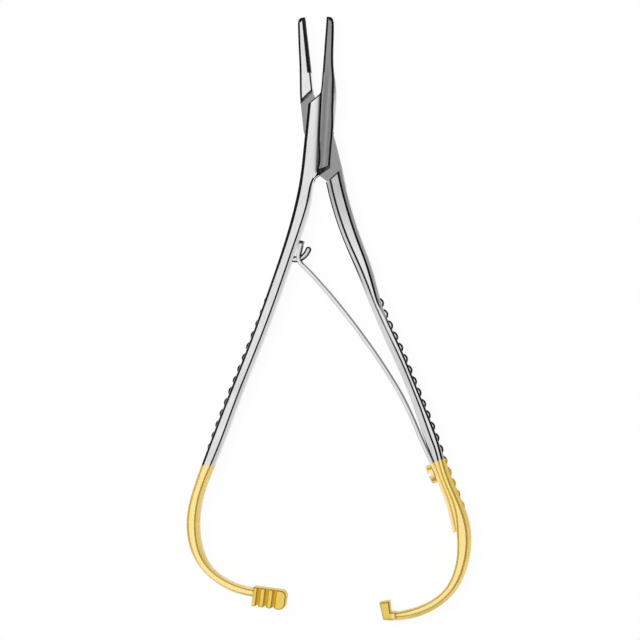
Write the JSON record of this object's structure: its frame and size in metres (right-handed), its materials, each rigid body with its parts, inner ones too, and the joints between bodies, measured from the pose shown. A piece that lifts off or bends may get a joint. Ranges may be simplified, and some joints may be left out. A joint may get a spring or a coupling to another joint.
{
  "type": "surgical needle holder",
  "caption": "Hand-held needle holder with a box lock, hard-metal jaw plates, ridged gold-ended handles, a leaf spring that opens it and a ratchet at the handle ends.",
  "frame": {"origin": "on the pivot's axis, in the plane that the instrument lies on when it is laid flat", "axes": "+Z along the pivot's axis and up from that plane, +Y towards the jaws, +X towards the handle that carries the spring"},
  "size_m": [0.0797, 0.1687, 0.0064],
  "materials": {
    "arm_steel": "polished steel, gilded on the lower ends of the handles",
    "jaw_plate": "dark sintered hard metal with a ground grip pattern",
    "spring_steel": "polished spring steel, gilded where it lies under the screw",
    "gilded_steel": "gilded, satin"
  },
  "bodies": {
    "box_arm_body": {"box_arm": "arm_steel", "box_arm_jaw_insert": "jaw_plate", "pivot_pin": "arm_steel", "spring_guide_horn": "spring_steel"},
    "tongue_arm_body": {"tongue_arm": "arm_steel", "tongue_arm_jaw_insert": "jaw_plate", "leaf_spring": "spring_steel", "spring_screw": "gilded_steel"}
  },
  "joints": [
    {"name": "lock_hinge", "type": "hinge", "parent": "box_arm_body", "child": "tongue_arm_body", "pos_m": [0, 0, 0.0032], "axis": [0, 0, -1], "range_deg": [0, 10], "stiffness_Nm_per_rad": 0.4, "deforming": ["leaf_spring"]}
  ]
}
